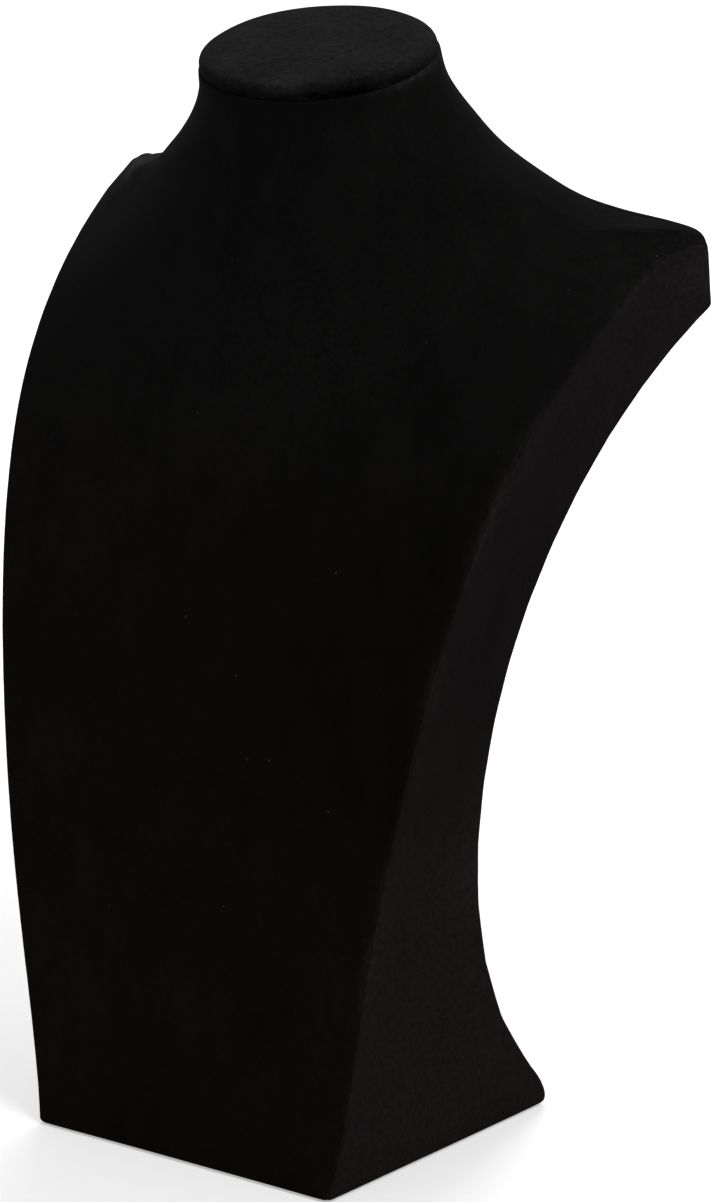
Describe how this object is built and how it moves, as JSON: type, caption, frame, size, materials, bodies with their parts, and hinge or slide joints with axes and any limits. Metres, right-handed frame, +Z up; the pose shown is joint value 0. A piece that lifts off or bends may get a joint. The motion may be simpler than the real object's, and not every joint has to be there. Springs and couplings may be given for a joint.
{
  "type": "necklace display stand",
  "caption": "Velvet covered bust that displays neckwear: flat flared foot, hollow curved back, broad sloping shoulders and an oval neck with a padded cap.",
  "frame": {"origin": "centre of the foot, on the surface that the stand rests on", "axes": "+Z up, the chest faces -Y, +X is to the right when the chest is seen from in front"},
  "size_m": [0.2716, 0.168, 0.4407],
  "materials": {
    "velvet": "black short pile velvet",
    "form": "moulded grey form",
    "board": "thin fibreboard",
    "felt": "dense black felt"
  },
  "bodies": {
    "root": {"torso_form": "form", "base_board": "board", "base_felt": "felt", "neck_cap_board": "board", "front_velvet": "velvet", "side_velvet_left": "velvet", "side_velvet_right": "velvet", "back_velvet": "velvet", "neck_cap_velvet": "velvet"}
  },
  "joints": []
}
